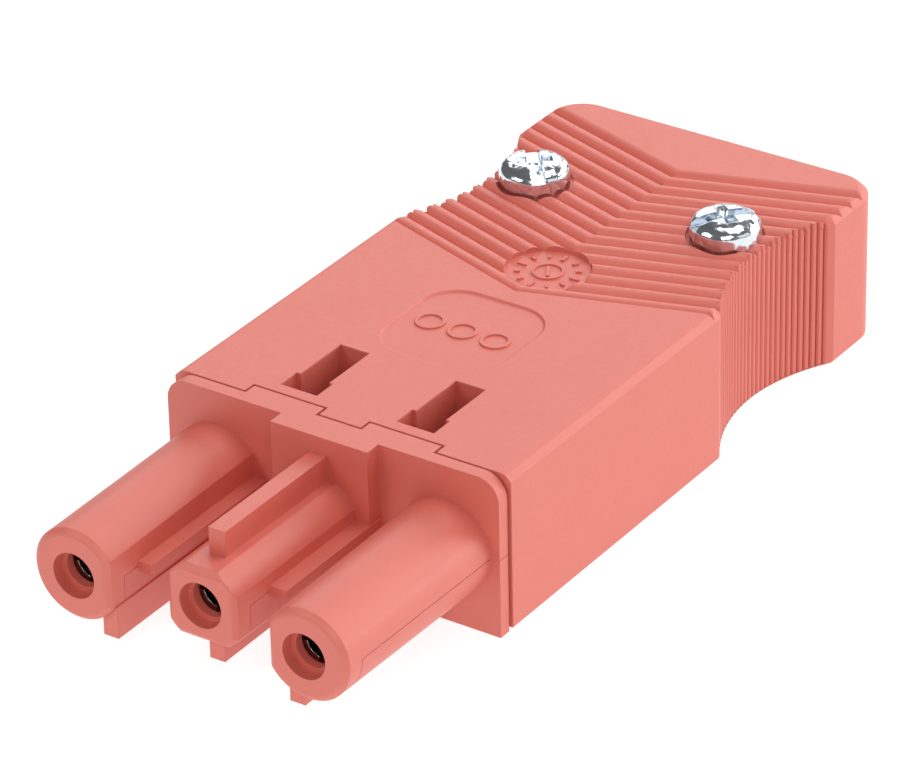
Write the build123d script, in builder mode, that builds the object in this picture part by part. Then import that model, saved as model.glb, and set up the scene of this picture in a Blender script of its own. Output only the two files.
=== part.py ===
import os
from math import cos, radians, sin

from build123d import *

os.makedirs("parts", exist_ok=True)

# Three-pole socket connector for installation cable, lying on its flat underside.
# X runs across the poles, Y from the socket tips (front) to the cable inlet (rear), Z up.
# The origin is on the underside, in the middle of the length and width.

# poles and insulating tubes
pole_pitch = 10.0
pole_margin = 4.75
tube_length = 17.7
middle_setback = 1.55
tube_tip_radius = 3.65
tube_base_radius = 3.85
outer_flat = 3.1
middle_flat = 3.0
tip_chamfer = 0.4
tip_easing = 0.12
mouth_radius = 1.82
mouth_depth = 1.1
pin_hole_radius = 1.45
tip_ring_length = 1.85
chamber_radius = 2.5

# flange and centre block of the contact carrier
flange_inset = 0.2
flange_thickness = 1.1
flange_corner_radius = 1.8
block_width = 8.5
block_depth = 1.4

# ribs and rails that key the tubes
top_rib_width = 1.45
top_rib_height = 2.1
top_rib_setback = 2.3
rail_height = 0.8
left_rail_width = 1.2
left_rail_setback = 3.5
middle_rail_width = 1.4
middle_rail_setback = 4.25
key_rib_width = 1.3
key_rib_reach = 4.6
key_rib_top = 2.0
key_rib_setback = 0.7
left_key_offset = 2.55
middle_key_offset = 0.78
right_key_offset = -1.17

# hood, the outer housing
hood_height = 12.9
hood_wall = 1.4
hood_roof = 1.4
hood_floor = 1.4
box_length = 28.4
waist_length = 17.3
waist_depth = 2.7
tail_length = 7.4
tail_inset = 0.25
tail_corner_radius = 3.2
waist_corner_radius = 1.0
top_edge_chamfer = 0.6
top_edge_easing = 0.2
bottom_edge_chamfer = 0.3
seam_gap = 0.2

# chevron ribs and fine side beads of the grip
chevron_angle = 17.9
chevron_pitch = 1.604
chevron_count = 14
chevron_start = 23.0
chevron_depth = 0.4
crest_drop = 0.02
bead_count = 28
bead_margin = 0.9
bead_depth = 0.22
bead_crest_share = 0.4

# sunk fields on the roof
emblem_width = 10.2
emblem_length = 10.4
emblem_corner_radius = 3.0
emblem_depth = 0.3
emblem_distance = 15.9
round_field_radius = 3.35
round_field_depth = 0.6
round_field_distance = 27.5

# latch windows and front tabs
window_shift = 0.125
window_front_width = 3.25
window_rear_width = 2.6
window_front_length = 2.05
window_length = 7.2
window_distance = 2.1
window_depth = 9.4
tab_width = 6.2
tab_length = 1.1

# contact carrier body behind the flange
carrier_length = 17.5
carrier_clearance = 0.12
terminal_pocket_clearance = 0.15
snap_depth = 0.5
snap_length = 3.0
snap_height = 3.0
snap_distance = 11.0
stop_width = 1.3
stop_length = 1.2
peg_width = 1.1
peg_setback = 3.0
peg_length = 1.2
peg_clearance = 0.05

# contacts and springs
contact_radius = 1.9
contact_bore_radius = 1.25
contact_slot_width = 0.4
contact_slot_length = 9.0
contact_bore_length = 12.0
contact_seat = 3.2
contact_setback = 0.3
guide_length = 1.6
spring_thickness = 0.25
spring_width = 3.2
spring_gap = 0.8
spring_offset = 3.0

# screw terminals
terminal_width = 5.1
terminal_length = 11.0
terminal_offset = 2.9
terminal_chamfer = 0.3
wire_way_width = 3.2
wire_way_height = 3.6
wire_way_length = 6.4
terminal_screw_inset = 3.3
thread_radius = 1.45
thread_clearance = 0.05
terminal_screw_lift = 1.8
terminal_screw_clearance = 0.15
terminal_slot_width = 0.6
terminal_slot_depth = 0.7
plate_thickness = 0.3
plate_width = 2.4
plate_length = 6.0
plate_height = 1.1
plate_tab = 1.8

# cable inlet and strain relief
cable_hole_radius = 4.8
cable_hole_chamfer = 0.6
clamp_screw_inset = 6.05
clamp_screw_distance = 39.0
clamp_head_radius = 2.8
clamp_head_height = 2.3
clamp_head_flat_radius = 1.5
clamp_head_dome = 0.3
clamp_head_chamfer = 0.4
clamp_head_seat = 0.5
clamp_head_clearance = 0.3
clamp_screw_tip_gap = 1.0
clamp_boss_width = 5.6
clamp_boss_length = 3.4
clamp_bar_end = 1.6
clamp_bar_width = 6.0
clamp_bar_height = 2.6
clamp_bar_chamfer = 0.4
saddle_width = 9.0
saddle_floor_width = 5.0
saddle_depth = 1.3
tooth_count = 3
tooth_width = 0.6
tooth_height = 0.35
roof_tooth_length = 10.0
roof_tooth_height = 0.7
roof_tooth_spacing = 3.4
slot_width = 0.85
slot_depth = 0.9
cross_length = 3.4
left_slot_angle = 47.0
right_slot_angle = 54.0

# sizes and positions that follow from the ones above
hood_width = 2 * (pole_pitch + pole_margin)
flange_width = hood_width - 2 * flange_inset
window_spacing = pole_pitch + 2 * window_shift
clamp_screw_spacing = hood_width - 2 * clamp_screw_inset
clamp_bar_length = clamp_screw_spacing + 2 * clamp_bar_end
total_length = tube_length + flange_thickness + seam_gap + box_length + waist_length + tail_length
tip_y = -total_length / 2
flange_y = tip_y + tube_length
flange_rear_y = flange_y + flange_thickness
hood_y = flange_rear_y + seam_gap
waist_y = hood_y + box_length
tail_y = waist_y + waist_length
rear_y = tail_y + tail_length
axis_z = hood_height / 2
hood_half = hood_width / 2
roof_z = hood_height - hood_roof
terminal_screw_top_z = roof_z - terminal_screw_clearance
terminal_top_z = terminal_screw_top_z - terminal_screw_lift
terminal_height = 2 * (terminal_top_z - axis_z)
carrier_end_y = flange_rear_y + carrier_length
clamp_screw_y = hood_y + clamp_screw_distance
head_seat_z = hood_height - clamp_head_seat
head_top_z = head_seat_z + clamp_head_height
clamp_screw_tip_z = hood_floor + clamp_screw_tip_gap

# each pole: position across, position of its tube tip, offset of its key rib
poles = {
    "left": (-pole_pitch, tip_y, left_key_offset),
    "middle": (0.0, tip_y + middle_setback, middle_key_offset),
    "right": (pole_pitch, tip_y, right_key_offset),
}


def cross_plane(y):
    """Plane across the length at y, with local x along X and local y along Z."""
    return Plane.XZ.offset(-y)


# Hood: one moulding with a box front, a waisted grip and a flared, rounded tail.
waist_x = hood_half - waist_depth
tail_x = hood_half - tail_inset
waist_mid_y = waist_y + waist_length / 2
bead_bottom_z = bottom_edge_chamfer
bead_top_z = hood_height - top_edge_chamfer

with BuildSketch() as hood_plan:
    with BuildLine():
        Line((0, hood_y), (hood_half, hood_y))
        Line((hood_half, hood_y), (hood_half, waist_y))
        waist_arc = ThreePointArc((hood_half, waist_y), (waist_x, waist_mid_y), (tail_x, tail_y))
        Line((tail_x, tail_y), (tail_x, rear_y))
        Line((tail_x, rear_y), (0, rear_y))
        mirror(about=Plane.YZ)
    make_face()
    for row in hood_plan.vertices().group_by(Axis.Y)[1:3]:
        fillet(row, waist_corner_radius)
    fillet(hood_plan.vertices().group_by(Axis.Y)[-1], tail_corner_radius)

with BuildSketch(Plane.XY.offset(hood_floor)) as hood_bay:
    offset(hood_plan.sketch, amount=-hood_wall)
    with Locations((0, hood_y)):
        Rectangle(hood_width - 2 * hood_wall, 4 * hood_wall)

# Tool with the profile of the chevron ribs, one arm made square to its run and mirrored.
chevron_normal = (-sin(radians(chevron_angle)), cos(radians(chevron_angle)), 0)
chevron_run = (cos(radians(chevron_angle)), sin(radians(chevron_angle)), 0)
rib_step = chevron_pitch * cos(radians(chevron_angle))
rib_start = (hood_y + chevron_start) * cos(radians(chevron_angle))
rib_end = rib_start + chevron_count * rib_step

with BuildPart() as chevron_tool:
    with BuildSketch(Plane((0, 0, hood_height), x_dir=chevron_normal, z_dir=chevron_run)):
        with BuildLine():
            for i in range(chevron_count):
                ThreePointArc(
                    (rib_start + i * rib_step, -chevron_depth),
                    (rib_start + (i + 0.5) * rib_step, -crest_drop),
                    (rib_start + (i + 1) * rib_step, -chevron_depth),
                )
            Line((rib_end, -chevron_depth), (rib_end, 1))
            Line((rib_end, 1), (rib_start, 1))
            Line((rib_start, 1), (rib_start, -chevron_depth))
        make_face()
    extrude(amount=hood_width, both=True)
    with BuildSketch(Plane.XY.offset(hood_height - 1)):
        with Locations((0, 0)):
            Rectangle(hood_width, 2 * total_length, align=(Align.MIN, Align.CENTER))
    extrude(amount=3, mode=Mode.INTERSECT)
    mirror(about=Plane.YZ)


def waist_point(step, depth):
    """Point of the bead profile on the waist arc, moved into the hood wall by depth."""
    margin = bead_margin / waist_arc.length
    point = waist_arc @ (margin + (1 - 2 * margin) * step / bead_count)
    return point + (point - waist_arc.arc_center).normalized() * depth


# Tool with the profile of the fine upright beads on both sides of the waist.
with BuildPart() as bead_tool:
    with BuildSketch(Plane.XY.offset(bead_bottom_z)):
        with BuildLine():
            for i in range(bead_count):
                Polyline(
                    waist_point(i, bead_depth),
                    waist_point(i + 0.5 - bead_crest_share / 2, crest_drop),
                    waist_point(i + 0.5 + bead_crest_share / 2, crest_drop),
                    waist_point(i + 1, bead_depth),
                )
            Polyline(
                waist_point(bead_count, bead_depth),
                (hood_half + hood_wall, tail_y),
                (hood_half + hood_wall, waist_y),
                waist_point(0, bead_depth),
            )
        make_face()
        mirror(about=Plane.YZ)
    extrude(amount=bead_top_z - bead_bottom_z)

with BuildPart() as hood:
    with BuildSketch():
        add(hood_plan.sketch)
    extrude(amount=hood_height)
    chamfer(hood.faces().sort_by(Axis.Z)[-1].edges(), top_edge_chamfer)
    chamfer(hood.faces().sort_by(Axis.Z)[-1].edges(), top_edge_easing)
    chamfer(hood.faces().sort_by(Axis.Z)[0].edges(), bottom_edge_chamfer)
    add(hood_bay.sketch)
    extrude(amount=roof_z - hood_floor, mode=Mode.SUBTRACT)
    # screw bosses under the roof, run into the side walls
    with BuildSketch(Plane.XY.offset(roof_z - clamp_boss_length)):
        with GridLocations(clamp_screw_spacing, 0, 2, 1):
            with Locations((0, clamp_screw_y)):
                Rectangle(clamp_boss_width, clamp_boss_width)
    extrude(amount=clamp_boss_length)
    # ridges under the roof that the cable is pressed against
    with BuildSketch(Plane.XY.offset(roof_z - roof_tooth_height)):
        with GridLocations(0, roof_tooth_spacing, 1, 2):
            with Locations((0, clamp_screw_y)):
                Rectangle(roof_tooth_length, tooth_width)
    extrude(amount=roof_tooth_height)
    # ledges on the side walls that stop the carrier
    with BuildSketch(Plane.XY.offset(hood_floor)):
        with GridLocations(hood_width - 2 * hood_wall - stop_width, 0, 2, 1):
            with Locations((0, carrier_end_y)):
                Rectangle(stop_width, stop_length, align=(Align.CENTER, Align.MIN))
    extrude(amount=roof_z - hood_floor)
    # chevron ribs and the two sunk fields on the roof
    add(chevron_tool.part, mode=Mode.SUBTRACT)
    with BuildSketch(Plane.XY.offset(hood_height)):
        with Locations((0, hood_y + round_field_distance)):
            Circle(round_field_radius)
    extrude(amount=-round_field_depth, mode=Mode.SUBTRACT)
    with BuildSketch(Plane.XY.offset(hood_height)):
        with Locations((0, hood_y + emblem_distance)):
            RectangleRounded(emblem_width, emblem_length, emblem_corner_radius)
    extrude(amount=-emblem_depth, mode=Mode.SUBTRACT)
    # latch windows, wider at the front, and the notches for the carrier's tabs
    with BuildSketch(Plane.XY.offset(hood_height)):
        with GridLocations(window_spacing, 0, 2, 1):
            with Locations((0, hood_y + window_distance)):
                Rectangle(window_front_width, window_front_length, align=(Align.CENTER, Align.MIN))
                Rectangle(window_rear_width, window_length, align=(Align.CENTER, Align.MIN))
            with Locations((0, hood_y)):
                Rectangle(tab_width + 2 * seam_gap, 2 * tab_length, align=Align.CENTER)
    extrude(amount=-hood_roof, mode=Mode.SUBTRACT)
    # seats and holes of the strain relief screws
    with Locations((0, clamp_screw_y, hood_height)):
        with GridLocations(clamp_screw_spacing, 0, 2, 1):
            CounterBoreHole(
                radius=thread_radius + 2 * thread_clearance,
                counter_bore_radius=clamp_head_radius + clamp_head_clearance,
                counter_bore_depth=clamp_head_seat,
                depth=hood_roof + clamp_boss_length + 1,
            )
    # pockets in the side walls that hold the carrier's snap ramps
    with BuildSketch(Plane.XY.offset(axis_z - snap_height / 2 - carrier_clearance)):
        with Locations((0, hood_y + snap_distance)):
            Rectangle(
                hood_width - 2 * hood_wall + 2 * snap_depth,
                snap_length + carrier_clearance,
                align=(Align.CENTER, Align.MIN),
            )
    extrude(amount=snap_height + 2 * carrier_clearance, mode=Mode.SUBTRACT)
    # fine upright beads on the sides of the waist
    add(bead_tool.part, mode=Mode.SUBTRACT)
    # cable inlet in the rear wall, with an eased edge
    with BuildSketch(cross_plane(rear_y)):
        with Locations((0, axis_z)):
            Circle(cable_hole_radius)
    extrude(amount=2 * hood_wall, mode=Mode.SUBTRACT)
    chamfer(
        hood.edges().filter_by(GeomType.CIRCLE).group_by(Axis.Y)[-1].sort_by(Edge.length)[-1],
        cable_hole_chamfer,
    )

hood.part.label = "hood"
export_step(hood.part, "parts/hood.step")

# Tubes: slightly tapered round bars with flats, eased at the tip.
tubes = {}
for name, (pole_x, pole_tip_y, key_offset) in poles.items():
    length = flange_y - pole_tip_y
    with BuildPart() as tube:
        with BuildSketch(Plane.XY):
            with BuildLine():
                Polyline(
                    (0, pole_tip_y),
                    (tube_tip_radius, pole_tip_y),
                    (tube_base_radius, flange_y),
                    (0, flange_y),
                    close=True,
                )
            make_face()
        revolve(axis=Axis.Y)
        side = middle_flat if name == "middle" else outer_flat
        left_side = tube_base_radius + 1 if name == "left" else side
        right_side = tube_base_radius + 1 if name == "right" else side
        half_height = middle_flat if name == "middle" else tube_base_radius + 1
        with BuildSketch(cross_plane(flange_y)):
            with Locations(((right_side - left_side) / 2, 0)):
                Rectangle(left_side + right_side, 2 * half_height)
        extrude(amount=length, mode=Mode.INTERSECT)
        chamfer(tube.faces().sort_by(Axis.Y)[0].edges(), tip_chamfer)
        chamfer(tube.faces().sort_by(Axis.Y)[0].edges(), tip_easing)
    tubes[name] = tube.part.moved(Location((pole_x, 0, axis_z)))

# Carrier as one body before it is parted: flange, centre block, body, tubes and keys.
body_half = hood_half - hood_wall - carrier_clearance
body_bottom = hood_floor + carrier_clearance
body_top = roof_z - carrier_clearance

with BuildPart() as carrier:
    with BuildSketch(cross_plane(flange_y)):
        with Locations((0, axis_z)):
            Rectangle(flange_width, hood_height)
    extrude(amount=-flange_thickness)
    fillet(carrier.edges().filter_by(Axis.Y).group_by(Axis.Z)[-1], flange_corner_radius)
    with BuildSketch(cross_plane(flange_rear_y)):
        with Locations((0, axis_z)):
            Rectangle(block_width, hood_height)
    extrude(amount=flange_thickness + block_depth)
    with BuildSketch(cross_plane(flange_rear_y)):
        with Locations((0, body_bottom)):
            Rectangle(2 * body_half, body_top - body_bottom, align=(Align.CENTER, Align.MIN))
    extrude(amount=-carrier_length)
    # tabs that lie in the notches of the hood
    with BuildSketch(Plane.XY.offset(body_top)):
        with GridLocations(window_spacing, 0, 2, 1):
            with Locations((0, flange_rear_y)):
                Rectangle(tab_width, tab_length, align=(Align.CENTER, Align.MIN))
    extrude(amount=hood_height - body_top)
    # snap ramps on both sides
    with BuildSketch(Plane.XY.offset(axis_z - snap_height / 2)):
        with BuildLine():
            Polyline(
                (body_half - hood_wall, hood_y + snap_distance),
                (body_half + snap_depth, hood_y + snap_distance),
                (body_half, hood_y + snap_distance + snap_length),
                (body_half - hood_wall, hood_y + snap_distance + snap_length),
                close=True,
            )
        make_face()
        mirror(about=Plane.YZ)
    extrude(amount=snap_height)
    for tube_solid in tubes.values():
        add(tube_solid)
    # top rib of the middle tube
    with BuildSketch(cross_plane(flange_y)):
        with Locations((0, axis_z + middle_flat - 0.5)):
            Rectangle(top_rib_width, top_rib_height + 0.5, align=(Align.CENTER, Align.MIN))
    extrude(amount=flange_y - poles["middle"][1] - top_rib_setback)
    # side rails on the inner flat of the left tube and on the right flat of the middle tube
    with BuildSketch(cross_plane(flange_y)):
        with Locations((-pole_pitch + outer_flat - 0.5, axis_z)):
            Rectangle(left_rail_width + 0.5, rail_height, align=(Align.MIN, Align.CENTER))
    extrude(amount=tube_length - left_rail_setback)
    with BuildSketch(cross_plane(flange_y)):
        with Locations((middle_flat - 0.5, axis_z)):
            Rectangle(middle_rail_width + 0.5, rail_height, align=(Align.MIN, Align.CENTER))
    extrude(amount=tube_length - middle_setback - middle_rail_setback)

# Closed rings at the tube tips, which belong to the upper half all round.
with BuildPart() as tube_tips:
    for tube_solid in tubes.values():
        add(tube_solid)
    with BuildSketch(Plane.XY):
        for pole_x, pole_tip_y, key_offset in poles.values():
            with Locations((pole_x, pole_tip_y)):
                Rectangle(pole_pitch, tip_ring_length, align=(Align.CENTER, Align.MIN))
    extrude(amount=hood_height, mode=Mode.INTERSECT)

# Key ribs along the underside of the tubes, which reach forward below the tips.
with BuildPart() as key_ribs:
    for pole_x, pole_tip_y, key_offset in poles.values():
        with BuildSketch(cross_plane(flange_y)):
            with Locations((pole_x + key_offset, axis_z - key_rib_reach)):
                Rectangle(
                    key_rib_width,
                    key_rib_reach - key_rib_top,
                    align=(Align.CENTER, Align.MIN),
                )
        extrude(amount=flange_y - pole_tip_y - key_rib_setback)
    add(tube_tips.part, mode=Mode.SUBTRACT)

# Zone of the lower half: below the parting plane and behind the closed tube tips.
with BuildPart() as lower_zone:
    with BuildSketch(Plane.XY.offset(-1)):
        for pole_x, pole_tip_y, key_offset in poles.values():
            with Locations((pole_x, pole_tip_y + tip_ring_length)):
                Rectangle(pole_pitch, total_length, align=(Align.CENTER, Align.MIN))
    extrude(amount=axis_z + 1)

# Everything that is hollow inside the two halves.
pocket_half = terminal_width / 2 + terminal_pocket_clearance
pocket_bottom = axis_z - terminal_height / 2 - terminal_pocket_clearance
pocket_top = axis_z + terminal_height / 2 + terminal_pocket_clearance
screw_well_width = 2 * (thread_radius + terminal_pocket_clearance)

with BuildPart() as hollows:
    for pole_x, pole_tip_y, key_offset in poles.values():
        terminal_y = pole_tip_y + tube_length + terminal_offset
        guide_y = terminal_y - guide_length
        screw_y = terminal_y + terminal_length - terminal_screw_inset
        with BuildSketch(cross_plane(pole_tip_y)):
            with Locations((pole_x, axis_z)):
                Circle(mouth_radius)
        extrude(amount=-mouth_depth)
        with BuildSketch(cross_plane(pole_tip_y)):
            with Locations((pole_x, axis_z)):
                Circle(pin_hole_radius)
        extrude(amount=-tip_ring_length)
        with BuildSketch(cross_plane(pole_tip_y + tip_ring_length)):
            with Locations((pole_x, axis_z)):
                Circle(chamber_radius)
        extrude(amount=pole_tip_y + tip_ring_length - guide_y)
        with BuildSketch(cross_plane(guide_y)):
            with Locations((pole_x, axis_z)):
                Circle(contact_radius + terminal_pocket_clearance)
        extrude(amount=-guide_length)
        with BuildSketch(Plane.XY.offset(pocket_bottom)):
            with Locations((pole_x, terminal_y - terminal_pocket_clearance)):
                Rectangle(
                    2 * pocket_half,
                    terminal_length + 2 * terminal_pocket_clearance + plate_thickness,
                    align=(Align.CENTER, Align.MIN),
                )
        extrude(amount=pocket_top - pocket_bottom)
        with BuildSketch(Plane.XY.offset(pocket_top)):
            with Locations((pole_x, screw_y)):
                Rectangle(screw_well_width, screw_well_width)
        extrude(amount=body_top - pocket_top)
        with BuildSketch(cross_plane(terminal_y + terminal_length)):
            with Locations((pole_x, axis_z)):
                Rectangle(
                    wire_way_width + 2 * terminal_pocket_clearance,
                    wire_way_height + 2 * terminal_pocket_clearance,
                )
        extrude(amount=-carrier_length)
    # wells under the latch windows
    with BuildSketch(Plane.XY.offset(hood_height - window_depth)):
        with GridLocations(window_spacing, 0, 2, 1):
            with Locations((0, hood_y + window_distance)):
                Rectangle(window_front_width, window_front_length, align=(Align.CENTER, Align.MIN))
                Rectangle(window_rear_width, window_length, align=(Align.CENTER, Align.MIN))
    extrude(amount=window_depth)

# place of the two square pegs that line up the halves
peg_y = hood_y + window_distance + window_length + peg_setback

with BuildPart() as carrier_upper:
    add(carrier.part)
    add(lower_zone.part, mode=Mode.SUBTRACT)
    add(hollows.part, mode=Mode.SUBTRACT)
    with BuildSketch(Plane.XY.offset(axis_z)):
        with Locations((0, peg_y)):
            with GridLocations(window_spacing, 0, 2, 1):
                Rectangle(peg_width + 2 * peg_clearance, peg_width + 2 * peg_clearance)
    extrude(amount=peg_length + peg_clearance, mode=Mode.SUBTRACT)

with BuildPart() as carrier_lower:
    add(carrier.part)
    add(lower_zone.part, mode=Mode.INTERSECT)
    add(key_ribs.part)
    add(hollows.part, mode=Mode.SUBTRACT)
    with BuildSketch(Plane.XY.offset(axis_z)):
        with Locations((0, peg_y)):
            with GridLocations(window_spacing, 0, 2, 1):
                Rectangle(peg_width, peg_width)
    extrude(amount=peg_length)

carrier_upper.part.label = "carrier_upper"
carrier_lower.part.label = "carrier_lower"
export_step(carrier_upper.part, "parts/carrier_upper.step")
export_step(carrier_lower.part, "parts/carrier_lower.step")

# Contacts, springs, terminals, wire screws and plates: one set behind each tube.
for name, (pole_x, pole_tip_y, key_offset) in poles.items():
    contact_y = pole_tip_y + tip_ring_length + contact_setback
    terminal_y = pole_tip_y + tube_length + terminal_offset
    terminal_end_y = terminal_y + terminal_length
    screw_y = terminal_end_y - terminal_screw_inset
    contact_end_y = terminal_y + contact_seat
    plate_top_z = axis_z + plate_height + plate_thickness

    # turned sleeve, slotted crosswise from the front and pressed into the terminal block
    with BuildPart() as contact:
        with BuildSketch(Plane.XY.offset(axis_z)):
            with BuildLine():
                Polyline(
                    (pole_x, contact_y + contact_bore_length),
                    (pole_x + contact_bore_radius, contact_y + contact_bore_length),
                    (pole_x + contact_bore_radius, contact_y),
                    (pole_x + contact_radius, contact_y),
                    (pole_x + contact_radius, contact_end_y),
                    (pole_x, contact_end_y),
                    close=True,
                )
            make_face()
        revolve(axis=Axis((pole_x, 0, axis_z), (0, 1, 0)))
        with BuildSketch(cross_plane(contact_y)):
            with Locations((pole_x, axis_z)):
                Rectangle(contact_slot_width, 3 * contact_radius)
                Rectangle(3 * contact_radius, contact_slot_width)
        extrude(amount=-contact_slot_length, mode=Mode.SUBTRACT)
    contact.part.label = f"contact_{name}"
    export_step(contact.part, f"parts/contact_{name}.step")

    # open steel ring round the slotted end
    with BuildPart() as spring:
        with BuildSketch(cross_plane(contact_y + spring_offset)):
            with Locations((pole_x, axis_z)):
                Circle(contact_radius + spring_thickness)
                Circle(contact_radius, mode=Mode.SUBTRACT)
                Rectangle(
                    spring_gap,
                    2 * contact_radius,
                    align=(Align.CENTER, Align.MAX),
                    mode=Mode.SUBTRACT,
                )
        extrude(amount=-spring_width)
    spring.part.label = f"spring_{name}"
    export_step(spring.part, f"parts/spring_{name}.step")

    # terminal block with a hole for the sleeve, the wire way and the threaded screw hole
    with BuildPart() as terminal:
        with BuildSketch(cross_plane(terminal_y)):
            with Locations((pole_x, axis_z)):
                Rectangle(terminal_width, terminal_height)
        extrude(amount=-terminal_length)
        chamfer(terminal.edges().filter_by(Axis.Y), terminal_chamfer)
        with BuildSketch(cross_plane(terminal_y)):
            with Locations((pole_x, axis_z)):
                Circle(contact_radius)
        extrude(amount=-contact_seat, mode=Mode.SUBTRACT)
        with BuildSketch(cross_plane(terminal_end_y)):
            with Locations((pole_x, axis_z)):
                Rectangle(wire_way_width, wire_way_height)
        extrude(amount=wire_way_length, mode=Mode.SUBTRACT)
        with BuildSketch(Plane.XY.offset(axis_z)):
            with Locations((pole_x, screw_y)):
                Circle(thread_radius + thread_clearance)
        extrude(amount=terminal_height, mode=Mode.SUBTRACT)
    terminal.part.label = f"terminal_{name}"
    export_step(terminal.part, f"parts/terminal_{name}.step")

    # slotted wire screw without a head
    with BuildPart() as terminal_screw:
        with BuildSketch(Plane.XY.offset(plate_top_z)):
            with Locations((pole_x, screw_y)):
                Circle(thread_radius)
        extrude(amount=terminal_screw_top_z - plate_top_z)
        with BuildSketch(Plane.XY.offset(terminal_screw_top_z)):
            with Locations((pole_x, screw_y)):
                Rectangle(3 * thread_radius, terminal_slot_width)
        extrude(amount=-terminal_slot_depth, mode=Mode.SUBTRACT)
    terminal_screw.part.label = f"terminal_screw_{name}"
    export_step(terminal_screw.part, f"parts/terminal_screw_{name}.step")

    # leaf between screw and wire, bent up over the rear face of the block
    with BuildPart() as wire_plate:
        with BuildSketch(Plane.YZ.offset(pole_x - plate_width / 2)):
            with BuildLine():
                Polyline(
                    (terminal_end_y - plate_length, plate_top_z - plate_thickness),
                    (terminal_end_y + plate_thickness, plate_top_z - plate_thickness),
                    (terminal_end_y + plate_thickness, plate_top_z - plate_thickness + plate_tab),
                    (terminal_end_y, plate_top_z - plate_thickness + plate_tab),
                    (terminal_end_y, plate_top_z),
                    (terminal_end_y - plate_length, plate_top_z),
                    close=True,
                )
            make_face()
        extrude(amount=plate_width)
    wire_plate.part.label = f"wire_plate_{name}"
    export_step(wire_plate.part, f"parts/wire_plate_{name}.step")

# Cable clamp: a bar on the hood floor with a toothed notch and two threaded holes.
clamp_top_z = hood_floor + clamp_bar_height
saddle_z = clamp_top_z - saddle_depth

with BuildPart() as cable_clamp:
    with BuildSketch(Plane.XY.offset(hood_floor)):
        with Locations((0, clamp_screw_y)):
            Rectangle(clamp_bar_length, clamp_bar_width)
    extrude(amount=clamp_bar_height)
    chamfer(cable_clamp.edges().filter_by(Axis.Z), clamp_bar_chamfer)
    with BuildSketch(cross_plane(clamp_screw_y)):
        with BuildLine():
            Polyline(
                (-saddle_width / 2, clamp_top_z),
                (-saddle_floor_width / 2, saddle_z),
                (saddle_floor_width / 2, saddle_z),
                (saddle_width / 2, clamp_top_z),
                close=True,
            )
        make_face()
    extrude(amount=clamp_bar_width, both=True, mode=Mode.SUBTRACT)
    # teeth across the floor of the saddle
    with BuildSketch(Plane.XY.offset(saddle_z)):
        with Locations((0, clamp_screw_y)):
            with GridLocations(0, clamp_bar_width / tooth_count, 1, tooth_count):
                Rectangle(saddle_floor_width, tooth_width)
    extrude(amount=tooth_height)
    with Locations((0, clamp_screw_y, clamp_top_z)):
        with GridLocations(clamp_screw_spacing, 0, 2, 1):
            Hole(radius=thread_radius + thread_clearance, depth=clamp_bar_height)

cable_clamp.part.label = "cable_clamp"
export_step(cable_clamp.part, "parts/cable_clamp.step")

# Strain relief screws: domed pan head with a cross and a slot, seated in the hood.
for name, screw_x, slot_angle in (
    ("left", -clamp_screw_spacing / 2, left_slot_angle),
    ("right", clamp_screw_spacing / 2, right_slot_angle),
):
    with BuildPart() as clamp_screw:
        with BuildSketch(Plane.XZ.offset(-clamp_screw_y)):
            with BuildLine():
                Polyline(
                    (screw_x, head_top_z),
                    (screw_x + clamp_head_flat_radius, head_top_z),
                    (screw_x + clamp_head_radius - clamp_head_chamfer, head_top_z - clamp_head_dome),
                    (screw_x + clamp_head_radius, head_top_z - clamp_head_dome - clamp_head_chamfer),
                    (screw_x + clamp_head_radius, head_seat_z),
                    (screw_x + thread_radius, head_seat_z),
                    (screw_x + thread_radius, clamp_screw_tip_z),
                    (screw_x, clamp_screw_tip_z),
                    close=True,
                )
            make_face()
        revolve(axis=Axis((screw_x, clamp_screw_y, 0), (0, 0, 1)))
        with BuildSketch(Plane.XY.offset(head_top_z)):
            with Locations((screw_x, clamp_screw_y)):
                Rectangle(3 * clamp_head_radius, slot_width, rotation=slot_angle)
                Rectangle(slot_width, cross_length, rotation=slot_angle)
        extrude(amount=-slot_depth, mode=Mode.SUBTRACT)
    clamp_screw.part.label = f"clamp_screw_{name}"
    export_step(clamp_screw.part, f"parts/clamp_screw_{name}.step")
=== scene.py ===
from math import atan2, cos, pi, radians, sin, tan

import bmesh
import bpy
from mathutils import Matrix, Vector


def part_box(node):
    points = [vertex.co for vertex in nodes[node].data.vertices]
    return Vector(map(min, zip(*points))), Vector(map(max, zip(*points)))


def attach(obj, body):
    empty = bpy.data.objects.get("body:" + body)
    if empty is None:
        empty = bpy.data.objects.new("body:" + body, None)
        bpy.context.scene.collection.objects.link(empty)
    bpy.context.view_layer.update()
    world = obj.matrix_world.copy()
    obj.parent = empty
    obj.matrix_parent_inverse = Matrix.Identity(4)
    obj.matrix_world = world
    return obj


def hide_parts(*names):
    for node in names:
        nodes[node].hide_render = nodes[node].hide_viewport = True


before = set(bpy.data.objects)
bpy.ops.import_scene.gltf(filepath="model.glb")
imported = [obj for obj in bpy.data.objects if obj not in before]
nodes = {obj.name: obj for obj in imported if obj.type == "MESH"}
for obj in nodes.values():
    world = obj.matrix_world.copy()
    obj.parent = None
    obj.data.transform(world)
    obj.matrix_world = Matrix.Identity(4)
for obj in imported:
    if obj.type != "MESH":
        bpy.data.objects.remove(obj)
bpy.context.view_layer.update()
MM = 0.001


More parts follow.
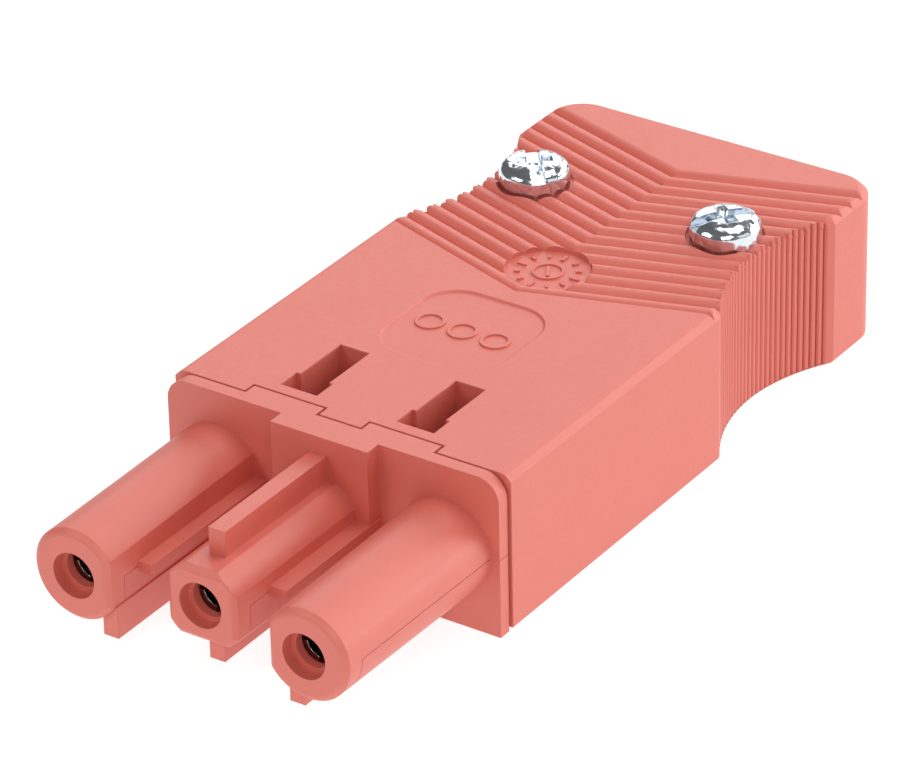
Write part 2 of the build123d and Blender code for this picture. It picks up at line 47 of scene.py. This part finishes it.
class Value:
    """A shader socket that takes part in Python arithmetic."""

    def __init__(self, finish, socket):
        self.finish = finish
        self.socket = socket

    def maths(self, operation, first, second):
        return self.finish.node("ShaderNodeMath", {"operation": operation}, {0: first, 1: second})

    def __add__(self, other):
        return self.maths("ADD", self, other)

    def __radd__(self, other):
        return self.maths("ADD", other, self)

    def __sub__(self, other):
        return self.maths("SUBTRACT", self, other)

    def __rsub__(self, other):
        return self.maths("SUBTRACT", other, self)

    def __mul__(self, other):
        return self.maths("MULTIPLY", self, other)

    def __rmul__(self, other):
        return self.maths("MULTIPLY", other, self)


class Finish:
    """A material whose Principled shader is fed by nodes and constants."""

    def __init__(self, name, **constants):
        self.material = bpy.data.materials.new(name)
        self.material.use_nodes = True
        self.tree = self.material.node_tree
        self.shader = self.tree.nodes["Principled BSDF"]
        self.place = self.node("ShaderNodeTexCoord", {}, {}, "Object")
        for socket, value in constants.items():
            self.feed(socket.replace("_", " "), value)

    def node(self, kind, settings, sockets, output=0):
        node = self.tree.nodes.new(kind)
        for key, value in settings.items():
            setattr(node, key, value)
        for key, value in sockets.items():
            self.connect(node.inputs[key], value)
        return Value(self, node.outputs[output])

    def connect(self, socket, value):
        if isinstance(value, Value):
            self.tree.links.new(value.socket, socket)
        else:
            socket.default_value = value

    def feed(self, socket, value):
        self.connect(self.shader.inputs[socket], value)

    def noise(self, per_metre, detail):
        return self.node(
            "ShaderNodeTexNoise",
            {},
            {"Vector": self.place, "Scale": per_metre, "Detail": detail, "Roughness": 0.55},
        )

    def uneven(self, middle, noise, spread):
        return middle + (noise - 0.5) * spread

    def blend(self, factor, first, second):
        return self.node(
            "ShaderNodeMix",
            {"data_type": "RGBA"},
            {0: factor, 6: first, 7: second},
            2,
        )

    def softened(self, radius):
        return self.node("ShaderNodeBevel", {"samples": 6}, {"Radius": radius}, "Normal")

    def bumped(self, height, depth, normal):
        return self.node(
            "ShaderNodeBump",
            {},
            {"Strength": 0.5, "Distance": depth, "Height": height, "Normal": normal},
            "Normal",
        )


coral_darker, coral_lighter = (0.64, 0.132, 0.095, 1), (0.68, 0.152, 0.110, 1)
tint_per_metre, specks_per_grain, plastic_spread = 140.0, 0.35, 0.16
scuff_shade, metal_spread = 0.82, 0.2


def moulded_plastic(name, grain_per_metre, grain_depth, roughness, edge):
    """Coral plastic with a slightly uneven tint and the grain of the mould."""
    finish = Finish(name, IOR=1.5, Specular_IOR_Level=0.75)
    tint = finish.noise(tint_per_metre, detail=3.0)
    finish.feed("Base Color", finish.blend(tint, coral_darker, coral_lighter))
    grain = finish.noise(grain_per_metre, detail=3.0)
    speck = finish.noise(grain_per_metre * specks_per_grain, detail=1.0)
    finish.feed("Roughness", finish.uneven(roughness, speck, plastic_spread))
    finish.feed("Normal", finish.bumped(grain, grain_depth, finish.softened(edge)))
    return finish.material


def metal(name, colour, roughness, scuffs_per_metre, edge, dents_per_metre=900.0, dent_depth=0.00006):
    """Bright metal with faint scuffs and shallow dents."""
    finish = Finish(name, Metallic=1.0)
    scuff = finish.noise(scuffs_per_metre, detail=4.0)
    darker = tuple(scuff_shade * channel for channel in colour[:3]) + (1,)
    finish.feed("Base Color", finish.blend(scuff, darker, colour))
    finish.feed("Roughness", finish.uneven(roughness, scuff, metal_spread))
    dents = finish.noise(dents_per_metre, detail=1.0)
    finish.feed("Normal", finish.bumped(dents, dent_depth, finish.softened(edge)))
    return finish.material


# A plastic has its grain per metre, grain depth, roughness and softened edge. A metal has its
# colour, roughness, scuffs per metre and softened edge, and the zinc its own dents as well.
hood_plastic = moulded_plastic("hood_plastic", 7000.0, 0.00003, 0.48, 0.00010)
tube_plastic = moulded_plastic("tube_plastic", 9000.0, 0.00001, 0.47, 0.00008)
clamp_plastic = moulded_plastic("clamp_plastic", 7000.0, 0.00002, 0.48, 0.00015)
sleeve_metal = metal("sleeve_metal", (0.94, 0.93, 0.90, 1), 0.14, 2500.0, 0.00005)
block_brass = metal("block_brass", (0.83, 0.66, 0.36, 1), 0.30, 1800.0, 0.00008)
spring_metal = metal("spring_metal", (0.60, 0.60, 0.61, 1), 0.28, 2500.0, 0.00004)
zinc_plate = metal("zinc_plate", (0.76, 0.81, 0.87, 1), 0.15, 1600.0, 0.00008, 1200.0, 0.00018)

finish_of = {
    "hood": hood_plastic,
    "carrier_upper": tube_plastic,
    "carrier_lower": tube_plastic,
    "cable_clamp": clamp_plastic,
}
for pole in ("left", "middle", "right"):
    finish_of["contact_" + pole] = sleeve_metal
    finish_of["spring_" + pole] = spring_metal
    finish_of["terminal_" + pole] = block_brass
    finish_of["terminal_screw_" + pole] = zinc_plate
    finish_of["wire_plate_" + pole] = spring_metal
for side in ("left", "right"):
    finish_of["clamp_screw_" + side] = zinc_plate
for name, finish in finish_of.items():
    nodes[name].data.materials.clear()
    nodes[name].data.materials.append(finish)

# Shaping: shapes are worked in millimetres, and the finished pieces are in metres.
lathe_merge, cad_merge, flat_angle = 0.0001, 0.000001, 0.5


def lathe(shape, profile, centre, steps):
    """Spins a profile of (radius, height) points once round an upright axis at centre."""
    corners = [shape.verts.new((centre[0] + r, centre[1], z)) for r, z in profile]
    runs = [shape.edges.new(pair) for pair in zip(corners, corners[1:])]
    bmesh.ops.spin(
        shape,
        geom=corners + runs,
        cent=(centre[0], centre[1], 0),
        axis=(0, 0, 1),
        angle=2 * pi,
        steps=steps,
        use_merge=True,
    )
    bmesh.ops.remove_doubles(shape, verts=shape.verts, dist=lathe_merge)


def block(shape, size, centre, turn=0.0, foot=1.0):
    """Adds an upright block, turned about Z, whose foot is foot times as wide as its top."""
    made = bmesh.ops.create_cube(shape, size=1)["verts"]
    for corner in made:
        shrink = foot if corner.co.z < 0 else 1.0
        corner.co.x *= size[0] * shrink
        corner.co.y *= size[1] * shrink
        corner.co.z *= size[2]
    placed = Matrix.Translation(Vector(centre)) @ Matrix.Rotation(turn, 4, "Z")
    bmesh.ops.transform(shape, matrix=placed, verts=made)


def prism(shape, outline, direction):
    """Adds a solid that a closed outline of points makes when it is drawn along a direction."""
    face = shape.faces.new([shape.verts.new(point) for point in outline])
    drawn = bmesh.ops.extrude_face_region(shape, geom=[face])["geom"]
    moved = [item for item in drawn if isinstance(item, bmesh.types.BMVert)]
    bmesh.ops.translate(shape, vec=direction, verts=moved)


def walls_between(shape, near, far):
    """Joins two closed rows of corners by a band of faces."""
    for i in range(len(near)):
        k = (i + 1) % len(near)
        shape.faces.new((near[i], near[k], far[k], far[i]))


def as_mesh(name, shape):
    """Mesh in metres, with its faces outwards, from a bmesh made in millimetres."""
    bmesh.ops.transform(shape, matrix=Matrix.Scale(MM, 4), verts=shape.verts)
    bmesh.ops.recalc_face_normals(shape, faces=shape.faces)
    mesh = bpy.data.meshes.new(name)
    shape.to_mesh(mesh)
    shape.free()
    return mesh


def linked(name, data):
    """New object in the scene, which stands at the origin."""
    made = bpy.data.objects.new(name, data)
    bpy.context.scene.collection.objects.link(made)
    return made


def worked(piece_object, shape, operation):
    """Adds a shape made in millimetres to a piece, or takes it out, for good."""
    tool = linked("tool", as_mesh("tool", shape))
    step = piece_object.modifiers.new("work", "BOOLEAN")
    step.operation = operation
    step.solver = "EXACT"
    step.object = tool
    bpy.context.view_layer.update()
    finished = bpy.data.meshes.new_from_object(
        piece_object.evaluated_get(bpy.context.evaluated_depsgraph_get())
    )
    piece_object.modifiers.remove(step)
    piece_object.data = finished
    bpy.data.objects.remove(tool)


def smoothed(mesh, crisp_from):
    """Smooth shading with crisp edges from an angle in degrees."""
    mesh.shade_smooth()
    mesh.set_sharp_from_angle(angle=radians(crisp_from))


def piece(name, shape, finish):
    """Turns a bmesh made in millimetres into a named piece in the CAD frame."""
    made = linked(name, as_mesh(name, shape))
    made.data.materials.append(finish)
    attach(made, "root")
    return made


def cad_copy(node, name, finish):
    """Merged copy of a CAD node, which stands for the node and can be worked further."""
    shape = bmesh.new()
    shape.from_mesh(nodes[node].data)
    bmesh.ops.remove_doubles(shape, verts=shape.verts, dist=cad_merge)
    bmesh.ops.transform(shape, matrix=Matrix.Scale(1 / MM, 4), verts=shape.verts)
    copy = piece(name, shape, finish)
    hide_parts(node)
    return copy


def shaded(piece_object, crisp_from):
    """Smooth shading with crisp edges, where wide flat faces keep their own direction."""
    shape = bmesh.new()
    shape.from_mesh(piece_object.data)
    bmesh.ops.dissolve_limit(
        shape,
        angle_limit=radians(flat_angle),
        verts=shape.verts,
        edges=shape.edges,
    )
    for face in shape.faces:
        face.smooth = True
    for edge in shape.edges:
        edge.smooth = len(edge.link_faces) == 2 and edge.calc_face_angle() < radians(crisp_from)
    shape.to_mesh(piece_object.data)
    shape.free()
    weighted = piece_object.modifiers.new("flat faces first", "WEIGHTED_NORMAL")
    weighted.keep_sharp = True
    weighted.weight = 100


# Hood: crisp front edge, deep grooves between the beads, and full-depth chevron ribs.
moulding_crisp = 18
front_y, hood_top = -17.05, 12.9
edge_low, edge_run = 12.0, 0.8
side_profile = ((14.75, 12.0), (14.75, 12.3), (14.291, 12.759), (13.95, 12.9))
notch_near, notch_far = 1.825, 8.425

# The waist: its arc, seen from above, and the beads along it, whose widths are shares of a bead.
hood_half, tail_half, waist_half = 14.75, 14.5, 12.05
waist_front, waist_middle, waist_rear = 11.35, 20.0, 28.65
bead_count, bead_margin = 28, 0.9
groove_depth, groove_half, groove_outside = 0.4, 0.22, 0.1
groove_low, groove_run = -0.5, hood_top + 1
neck_half, neck_depth = 0.11, 0.1505
crest_share, crest_drop = 0.4, 0.03
crown_low, crown_width = 12.15, 1.1

# The two sunk fields: a round dial and a panel with rounded corners and an eased edge.
dial_centre, dial_radius, dial_floor, dial_low, dial_steps = (0.0, 10.45), 3.4, 12.42, 12.1, 64
panel_centre, panel_half, panel_floor, panel_low = (0.0, -1.15), (5.15, 5.25), 12.76, 12.2
panel_corner, corner_steps, panel_ease, panel_inset = 3.05, 8, 0.28, 0.02

# The ribs: scallops between crests that lie just below the roof's plane.
rib_start, rib_pitch, rib_count, rib_depth, rib_steps = 5.95, 1.604, 14, 0.5, 8
rib_slope, rib_lead = radians(17.9), 0.03
comb_half, comb_top = 16.0, hood_top + 1


def waist_arc():
    """Centre, radius and end angles of the waist, seen from above, on the right side."""
    front = Vector((hood_half, waist_front))
    middle = Vector((waist_half, waist_middle)) - front
    rear = Vector((tail_half, waist_rear)) - front
    turn = 2 * (middle.x * rear.y - middle.y * rear.x)
    m2, r2 = middle.length_squared, rear.length_squared
    centre = front + Vector((rear.y * m2 - middle.y * r2, middle.x * r2 - rear.x * m2)) / turn
    first = front - centre
    last = front + rear - centre
    return centre, first.length, atan2(first.y, first.x), atan2(last.y, last.x)


arc_centre, arc_radius, arc_first, arc_last = waist_arc()
arc_first, arc_last = arc_first % (2 * pi), arc_last % (2 * pi)


def waist_point(step, depth, side, z):
    """Point beside the waist, depth inside its wall, at a step of the row of beads."""
    margin = bead_margin / (arc_radius * abs(arc_last - arc_first))
    share = margin + (1 - 2 * margin) * step / bead_count
    angle = arc_first + (arc_last - arc_first) * share
    reach = arc_radius + depth
    return (side * (arc_centre.x + reach * cos(angle)), arc_centre.y + reach * sin(angle), z)


def bead_grooves():
    """Tool for the narrow deep grooves between the beads, over the full height of the waist."""
    shape = bmesh.new()
    places = ((-groove_half, -groove_outside), (0, groove_depth), (groove_half, -groove_outside))
    for side in (-1, 1):
        for i in range(bead_count + 1):
            groove = [waist_point(i + off, depth, side, groove_low) for off, depth in places]
            prism(shape, groove, (0, 0, groove_run))
    return shape


def front_edges():
    """Fills the eased front edge of the roof beside and between the notches."""
    shape = bmesh.new()
    for side in (-1, 1):
        outline = [(side * notch_far, front_y, edge_low)]
        outline += [(side * x, front_y, z) for x, z in side_profile]
        outline.append((side * notch_far, front_y, hood_top))
        prism(shape, outline, (0, edge_run, 0))
    middle = [(-notch_near, edge_low), (notch_near, edge_low)]
    middle += [(notch_near, hood_top), (-notch_near, hood_top)]
    prism(shape, [(x, front_y, z) for x, z in middle], (0, edge_run, 0))
    return shape


def waist_crowns():
    """Carries the beads and grooves of both waist sides up to the plane of the ribs."""
    shape = bmesh.new()
    groove = ((-neck_half, neck_depth), (0.0, groove_depth), (neck_half, neck_depth))
    half_crest = crest_share / 2
    for side in (-1, 1):
        row = []
        for i in range(bead_count):
            row += [(i + off, depth) for off, depth in groove]
            row += [(i + 0.5 - half_crest, crest_drop), (i + 0.5 + half_crest, crest_drop)]
        row += [(bead_count + off, depth) for off, depth in groove]
        row += [(i, crown_width) for i in range(bead_count, -1, -2)]
        outline = [waist_point(step, depth, side, crown_low) for step, depth in row]
        prism(shape, outline, (0, 0, hood_top - crown_low))
    return shape


def panel_outline(grow, z):
    """Rounded square of the sunk panel, grow larger on each side, at a height."""
    outline = []
    for x_side, y_side, start in ((1, 1, 0), (-1, 1, 90), (-1, -1, 180), (1, -1, 270)):
        for i in range(corner_steps + 1):
            angle = radians(start + i * 90 / corner_steps)
            x = x_side * (panel_half[0] - panel_corner) + (panel_corner + grow) * cos(angle)
            y = y_side * (panel_half[1] - panel_corner) + (panel_corner + grow) * sin(angle)
            outline.append((panel_centre[0] + x, panel_centre[1] + y, z))
    return outline


def shallow_fields():
    """Lifts the floors of the two sunk fields to the height that they have on the object."""
    shape = bmesh.new()
    prism(shape, panel_outline(0, panel_low), (0, 0, panel_floor - panel_low))
    dial = []
    for i in range(dial_steps):
        angle = 2 * pi * i / dial_steps
        x, y = dial_radius * cos(angle), dial_radius * sin(angle)
        dial.append((dial_centre[0] + x, dial_centre[1] + y, dial_low))
    prism(shape, dial, (0, 0, dial_floor - dial_low))
    return shape


def panel_edge():
    """Tool for the sloping wall round the panel."""
    shape = bmesh.new()
    foot = panel_outline(-panel_inset, panel_floor)
    rim = panel_outline(panel_ease, panel_floor + panel_ease)
    low = [shape.verts.new(point) for point in foot]
    high = [shape.verts.new(point) for point in rim]
    shape.faces.new(low)
    shape.faces.new(high)
    walls_between(shape, low, high)
    return shape


def rib_comb():
    """Tool for the chevron ribs; the last groove rises with half a rib into the tail's plane."""
    shape = bmesh.new()
    half = rib_pitch * cos(rib_slope) / 2
    rise = rib_depth - crest_drop
    crest_radius = (half * half + rise * rise) / (2 * rise)
    start = rib_start - rib_lead
    profile = [(start, comb_top), (start, hood_top - rib_depth)]
    for i in range(1, rib_count * rib_steps + rib_steps // 2 + 1):
        u = i / rib_steps
        off = (u - int(u) - 0.5) * 2 * half if i % rib_steps else half
        drop = crest_radius - (crest_radius**2 - off**2) ** 0.5
        sunk = crest_drop * min(1.0, 2 * (rib_count + 0.5 - u))
        profile.append((rib_start + u * rib_pitch, hood_top - sunk - drop))
    profile.append((profile[-1][0], comb_top))
    rows = []
    for x in (-comb_half, 0.0, comb_half):
        shift = abs(x) * tan(rib_slope)
        rows.append([shape.verts.new((x, y + shift, z)) for y, z in profile])
    for near, far in zip(rows, rows[1:]):
        walls_between(shape, near, far)
    shape.faces.new(rows[0])
    shape.faces.new(list(reversed(rows[-1])))
    return shape


hood = cad_copy("hood", "hood_moulding", hood_plastic)
worked(hood, bead_grooves(), "DIFFERENCE")
worked(hood, front_edges(), "UNION")
worked(hood, waist_crowns(), "UNION")
worked(hood, shallow_fields(), "UNION")
worked(hood, panel_edge(), "DIFFERENCE")
worked(hood, rib_comb(), "DIFFERENCE")
shaded(hood, moulding_crisp)

# Latch windows: walls that run down into the carrier in one piece.
window_front, window_step, window_end = -14.95, -12.9, -7.75
window_wide, window_narrow, window_place, window_low = 1.625, 1.3, 5.125, 3.6
wall_outside, wall_inside, wall_drop = 0.1, 0.012, 0.05


def window_outline(centre, grow):
    """Stepped outline of a latch window, grow larger on each side."""
    wide, narrow = window_wide + grow, window_narrow + grow
    half = [(wide, window_front - grow), (wide, window_step + grow), (narrow, window_step + grow)]
    half.append((narrow, window_end + grow))
    other = [(-x, y) for x, y in reversed(half)]
    return [(centre + x, y, window_low) for x, y in half + other]


for side, name in ((-1, "left"), (1, "right")):
    centre = side * window_place
    walls = bmesh.new()
    prism(walls, window_outline(centre, wall_outside), (0, 0, hood_top - wall_drop - window_low))
    lining = piece("window_walls_" + name, walls, hood_plastic)
    inner = bmesh.new()
    prism(inner, window_outline(centre, -wall_inside), (0, 0, hood_top))
    worked(lining, inner, "DIFFERENCE")

# Contact carrier: the upper corners of the middle tube are well rounded.
tube_axis_z, body_radius, shoulder_front_y, block_front_y = 6.45, 3.3, -34.7, -19.75
shoulder_first, shoulder_arc, shoulder_steps = 22, 46, 12
shoulder_top, shoulder_outside = 3.05, 3.7

# The parting line between the two halves is open by a hair where it can be seen: along the outer
# side of the right tube, on the flange's end, and from the tip rings back to the rails. Each
# stretch has the x and y of its middle, and its length.
seam_open, seam_width, seam_lift = 0.07, 0.5, 0.02
seams = ((13.9, -26.4, 15.8), (14.7, -17.8, 1.2), (3.1, -31.45, 2.4), (-6.8, -33.37, 1.65))

# The rear edges of the tip rings, where the lower half begins. Each has the x and y of its tube,
# and how far its inner side may reach from the tube's axis.
edge_outer, edge_inner, edge_arc, edge_steps, edge_ahead = 4.6, 3.5, 100, 16, 0.05
ring_edges = ((-10.0, -34.2, 3.0), (0.0, -32.65, 2.9), (10.0, -34.2, 3.5))


def shoulders():
    """Tool for the rounded upper corners of the middle tube."""
    shape = bmesh.new()
    for side in (-1, 1):
        outline = []
        for i in range(shoulder_steps + 1):
            angle = radians(shoulder_first + i * shoulder_arc / shoulder_steps)
            outline.append((side * body_radius * cos(angle), tube_axis_z + body_radius * sin(angle)))
        outline.append((outline[-1][0], tube_axis_z + shoulder_top))
        outline.append((side * shoulder_outside, tube_axis_z + shoulder_top))
        outline.append((side * shoulder_outside, outline[0][1]))
        outline = [(x, shoulder_front_y, z) for x, z in outline]
        prism(shape, outline, (0, block_front_y - shoulder_front_y, 0))
    return shape


def parting_seam(x, y, run):
    """Tool for one open stretch of the parting line."""
    shape = bmesh.new()
    block(shape, (seam_width, run, seam_open), (x, y, tube_axis_z + seam_lift))
    return shape


def ring_edge(x, y, reach):
    """Tool for the open rear edge of the tip ring on one tube."""
    outer, inner = [], []
    for i in range(edge_steps + 1):
        angle = radians(-edge_arc + i * edge_arc / edge_steps)
        outer.append((x + edge_outer * cos(angle), tube_axis_z + edge_outer * sin(angle)))
        angle = radians(-i * edge_arc / edge_steps)
        across = min(reach, edge_inner * cos(angle))
        inner.append((x + across, tube_axis_z + edge_inner * sin(angle)))
    shape = bmesh.new()
    prism(shape, [(px, y - edge_ahead, pz) for px, pz in outer + inner], (0, seam_open, 0))
    return shape


carrier = cad_copy("carrier_upper", "carrier_upper_moulding", tube_plastic)
worked(carrier, shoulders(), "DIFFERENCE")
for seam in seams:
    worked(carrier, parting_seam(*seam), "DIFFERENCE")
for edge in ring_edges:
    worked(carrier, ring_edge(*edge), "DIFFERENCE")
shaded(carrier, moulding_crisp)

# Strain relief screws: pan head, thread turns below it, and a combined cross and slot.
head_radius, head_height, head_side, head_ease = 2.8, 2.3, 1.25, 0.1
dome_steps, dome_fullness, head_steps, screw_crisp = 14, 0.6, 96, 32
thread_radius, thread_depth, thread_pitch = 1.45, 0.25, 0.5
slot_size, slot_lift, slot_foot = (7.0, 1.2, 2.0), 0.1, 0.92
wing_size, wing_foot = (4.3, 1.45, 3.2), 0.35
screw_turn = {"left": 130.0, "right": 54.0}


def screw_profile(tip, seat, top):
    """Half section of a strain relief screw, from its tip up to the middle of its head."""
    root = thread_radius - thread_depth
    profile = [(0, tip), (root, tip)]
    turns = int((seat - tip) / thread_pitch) - 1
    for i in range(turns):
        start = tip + i * thread_pitch
        profile.append((thread_radius, start + thread_pitch / 2))
        profile.append((root, start + thread_pitch))
    profile += [(root, seat), (head_radius - head_ease, seat), (head_radius, seat + head_ease)]
    dome = head_height - head_side
    for i in range(dome_steps):
        turn = i / dome_steps * pi / 2
        profile.append((head_radius * cos(turn) ** dome_fullness, seat + head_side + dome * sin(turn)))
    profile.append((0, top))
    return profile


def clamp_screw(side):
    """Strain relief screw of one side, which stands for its CAD node."""
    node = "clamp_screw_" + side
    low, high = (Vector(corner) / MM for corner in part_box(node))
    centre = ((low.x + high.x) / 2, (low.y + high.y) / 2)
    top, seat, tip = high.z, high.z - head_height, low.z
    shape = bmesh.new()
    lathe(shape, screw_profile(tip, seat, top), centre, head_steps)
    screw = piece(node + "_head", shape, zinc_plate)
    turn = radians(screw_turn[side])
    recess = bmesh.new()
    block(recess, slot_size, (*centre, top + slot_lift), turn, slot_foot)
    worked(screw, recess, "DIFFERENCE")
    for angle in (turn, turn + pi / 2):
        wing = bmesh.new()
        block(wing, wing_size, (*centre, top), angle, wing_foot)
        worked(screw, wing, "DIFFERENCE")
    smoothed(screw.data, screw_crisp)
    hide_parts(node)


for side in ("left", "right"):
    clamp_screw(side)

# Raised marks in the two sunk fields: plain ticks round the dial, three rings in the panel.
mark_sink, mark_crisp, ring_steps = 0.02, 30, 64
dial_mark_height, hub_radius, tick_width = 0.14, 1.15, 0.22
tick_count, tick_reach, tick_long, tick_short, long_every = 12, 2.35, 0.8, 0.5, 3
hand_length, hand_width, hand_turn = 1.5, 0.26, radians(120)
panel_mark_height, ring_spacing, ring_radius, ring_width = 0.12, 2.9, 1.05, 0.3


def ring(shape, centre, radius, width, floor, height):
    """Adds a raised ring with eased upper edges."""
    ease = min(width, height) / 4
    inner, outer = radius - width / 2, radius + width / 2
    profile = [
        (inner, floor - mark_sink),
        (inner, floor + height - ease),
        (inner + ease, floor + height),
        (outer - ease, floor + height),
        (outer, floor + height - ease),
        (outer, floor - mark_sink),
    ]
    part = bmesh.new()
    lathe(part, profile, centre, ring_steps)
    mesh = bpy.data.meshes.new("ring")
    part.to_mesh(mesh)
    part.free()
    shape.from_mesh(mesh)
    bpy.data.meshes.remove(mesh)


def dial_marks():
    """Hub ring, ticks and one hand of the plain dial."""
    shape = bmesh.new()
    ring(shape, dial_centre, hub_radius, tick_width, dial_floor, dial_mark_height)
    height, z = dial_mark_height + mark_sink, dial_floor + dial_mark_height / 2 - mark_sink / 2
    for i in range(tick_count):
        angle = 2 * pi * i / tick_count
        x, y = dial_centre[0] + tick_reach * cos(angle), dial_centre[1] + tick_reach * sin(angle)
        length = tick_short if i % long_every else tick_long
        block(shape, (length, tick_width, height), (x, y, z), angle)
    block(shape, (hand_length, hand_width, height), (*dial_centre, z), hand_turn)
    return shape


def panel_marks():
    """Row of three rings in the panel."""
    shape = bmesh.new()
    for step in (-1, 0, 1):
        centre = (panel_centre[0] + step * ring_spacing, panel_centre[1])
        ring(shape, centre, ring_radius, ring_width, panel_floor, panel_mark_height)
    return shape


smoothed(piece("dial_marks", dial_marks(), hood_plastic).data, mark_crisp)
smoothed(piece("panel_marks", panel_marks(), hood_plastic).data, mark_crisp)

# Camera: the photograph's viewing direction and distance.
azimuth, elevation, roll = radians(34.56), radians(29.59), radians(-1.29)
camera_place = Vector((196.8, -288.65, 206.4)) * MM
back = Vector((sin(azimuth) * cos(elevation), -cos(azimuth) * cos(elevation), sin(elevation)))
across = Vector((cos(azimuth), sin(azimuth), 0))
up = back.cross(across)
right_hand = cos(roll) * across + sin(roll) * up
upward = cos(roll) * up - sin(roll) * across
camera_data = bpy.data.cameras.new("camera")
camera_data.sensor_width = 36
camera_data.lens = 215.1
camera_data.clip_start = 0.01
camera_data.clip_end = 10
camera = linked("camera", camera_data)
facing = Matrix((right_hand, upward, back)).transposed().to_4x4()
camera.matrix_world = Matrix.Translation(camera_place) @ facing
bpy.context.scene.camera = camera

# Floor and lights: a pale sweep under large soft lights.
floor_half, floor_drop = 3.0, 0.00002
floor_shape = bmesh.new()
bmesh.ops.create_grid(floor_shape, x_segments=1, y_segments=1, size=floor_half)
floor_mesh = bpy.data.meshes.new("floor")
floor_shape.to_mesh(floor_mesh)
floor_shape.free()
floor = linked("floor", floor_mesh)
floor.location.z = -floor_drop
floor_white = Finish(
    "floor_white",
    Base_Color=(0.35, 0.35, 0.35, 1),
    Roughness=0.95,
    Specular_IOR_Level=0.0,
    Emission_Color=(1, 1, 1, 1),
    Emission_Strength=0.85,
)
floor_mesh.materials.append(floor_white.material)

# Each light has its name, place, width and height, and power. All of them face the origin.
soft_lights = (
    ("light_above", (0.10, 0.20, 0.75), (0.5, 0.5), 2.75),
    ("light_back_left", (-0.45, 0.70, 0.40), (0.6, 0.6), 2.1),
    ("light_back", (0.15, 0.85, 0.35), (0.6, 0.4), 2.4),
    ("light_back_right", (0.60, 0.60, 0.12), (0.5, 0.2), 1.71),
    ("light_far_right", (0.45, 0.66, 0.45), (0.3, 0.3), 1.2),
    ("light_right", (0.80, 0.05, 0.35), (0.5, 0.5), 0.70),
    ("light_front_right", (0.45, -0.55, 0.50), (0.4, 0.4), 2.1),
    ("light_front_left", (-0.35, -0.60, 0.45), (0.4, 0.4), 1.7),
)
for name, place, size, power in soft_lights:
    light = bpy.data.lights.new(name, "AREA")
    light.shape = "RECTANGLE"
    light.size, light.size_y = size
    light.energy = power
    lamp = linked(name, light)
    lamp.location = place
    lamp.rotation_euler = Vector(place).to_track_quat("Z", "Y").to_euler()

world = bpy.data.worlds.new("studio")
bpy.context.scene.world = world
world.use_nodes = True
world.node_tree.nodes["Background"].inputs["Color"].default_value = (1, 1, 1, 1)
world.node_tree.nodes["Background"].inputs["Strength"].default_value = 0.149
bpy.context.scene.view_settings.view_transform = "Standard"
